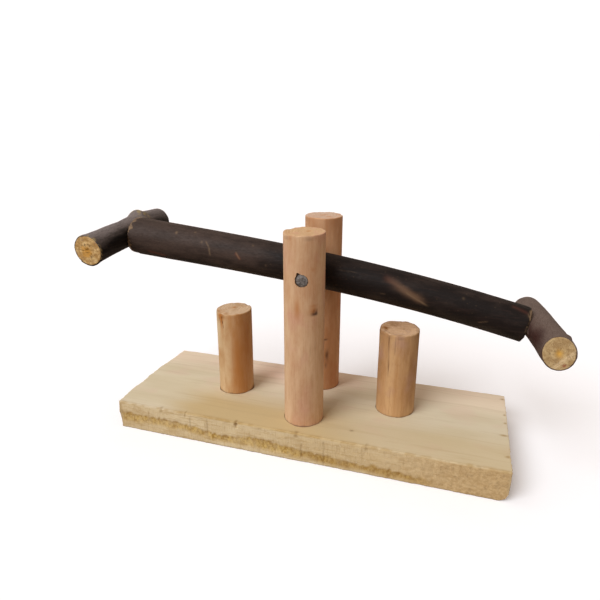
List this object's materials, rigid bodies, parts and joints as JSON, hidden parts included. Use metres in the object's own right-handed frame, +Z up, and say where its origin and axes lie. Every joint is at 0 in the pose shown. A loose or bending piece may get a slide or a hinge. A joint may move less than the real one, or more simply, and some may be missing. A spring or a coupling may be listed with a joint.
{
  "type": "seesaw",
  "caption": "Small wooden tabletop seesaw: a bark-covered stick with a crossbar at each end rocks on a nail between two round posts, stopped by a short peg on each side of a plank base.",
  "frame": {"origin": "centre of the baseboard's underside", "axes": "+X along the baseboard towards the end of the beam that rests lower, +Y across the board from the front post to the rear post, +Z up"},
  "size_m": [0.2077, 0.0624, 0.0994],
  "materials": {
    "board_wood": "rough-sawn pale poplar",
    "dowel_wood": "plain sanded dowel",
    "stick_wood": "sawn end grain",
    "bark": "natural dark bark, satin",
    "steel": "dull wire nail"
  },
  "bodies": {
    "stand": {"baseboard": "board_wood", "front_post": "dowel_wood", "rear_post": "dowel_wood", "left_peg": "dowel_wood", "right_peg": "dowel_wood", "pivot_nail": "steel", "foot_nails": "steel"},
    "beam": {"beam_core": "stick_wood", "beam_bark": "bark", "left_crossbar_core": "stick_wood", "left_crossbar_bark": "bark", "right_crossbar_core": "stick_wood", "right_crossbar_bark": "bark", "crossbar_nails": "steel"}
  },
  "joints": [
    {"name": "beam_pivot", "type": "hinge", "parent": "stand", "child": "beam", "pos_m": [0.0019, 0.00055, 0.08], "axis": [0, 1, 0], "range_deg": [-21.8, 10.8]}
  ]
}
